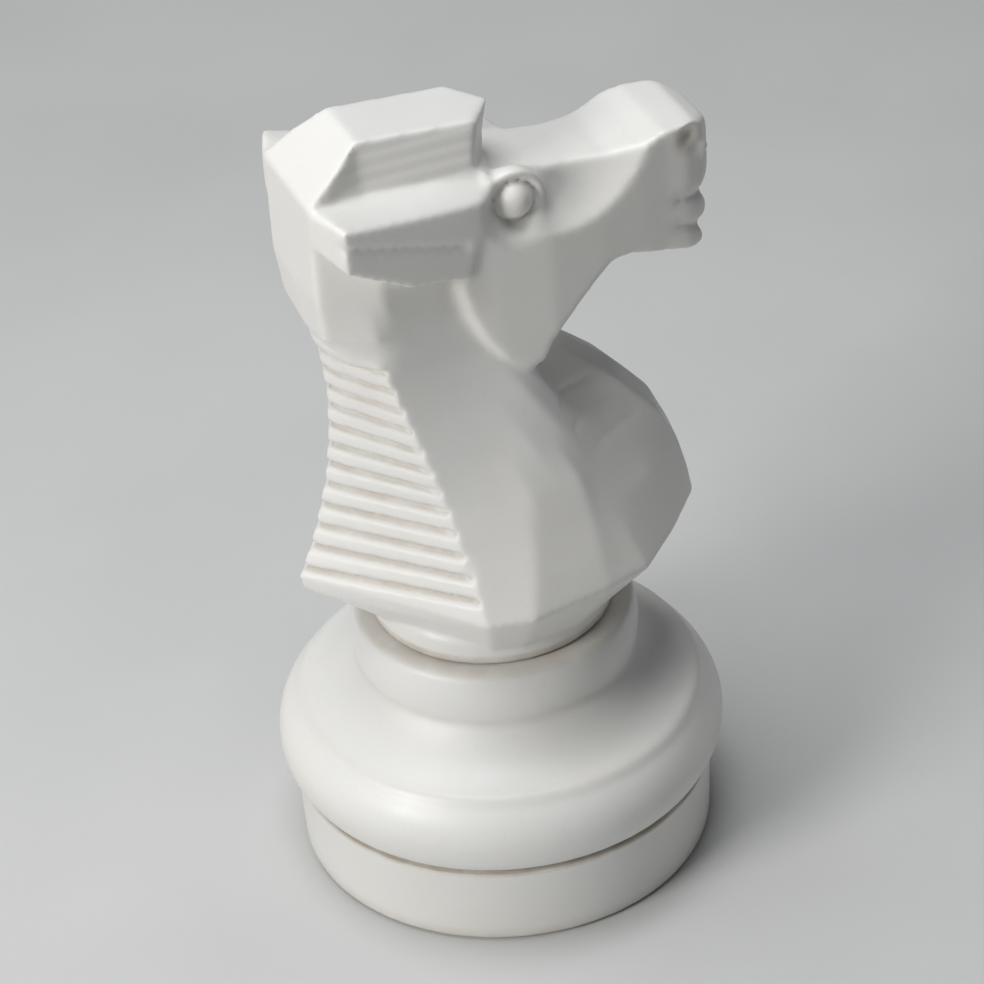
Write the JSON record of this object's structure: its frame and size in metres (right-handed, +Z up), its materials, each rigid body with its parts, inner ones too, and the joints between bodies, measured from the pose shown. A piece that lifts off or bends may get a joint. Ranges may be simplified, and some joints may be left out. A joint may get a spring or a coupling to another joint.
{
  "type": "giant garden chess knight",
  "caption": "Giant garden chess knight: hollow moulded horse plugged into a round two-part base with a sand-filled pan and a push-in plug underneath.",
  "frame": {"origin": "on the floor, under the middle of the round base", "axes": "+Z up, the horse looks along -Y, its left side is +X"},
  "size_m": [0.2442, 0.2546, 0.4555],
  "materials": {
    "white_polyethylene": "blow-moulded polyethylene, soft satin with a fine orange peel",
    "sand": "dry loose sand",
    "seal_rubber": "matt black rubber"
  },
  "bodies": {
    "pan": {"base_pan": "white_polyethylene", "sand_ballast": "sand"},
    "shell": {"base_shell": "white_polyethylene"},
    "figure": {"knight_figure": "white_polyethylene"},
    "plug": {"filler_plug": "white_polyethylene", "plug_seal": "seal_rubber"}
  },
  "joints": [
    {"name": "shell_lift", "type": "slide", "parent": "pan", "child": "shell", "axis": [0, 0, 1], "range_m": [0, 0.03]},
    {"name": "figure_lift", "type": "slide", "parent": "shell", "child": "figure", "axis": [0, 0, 1], "range_m": [0, 0.05]},
    {"name": "plug_pull", "type": "slide", "parent": "pan", "child": "plug", "axis": [0, 0, -1], "range_m": [0, 0.022]}
  ]
}
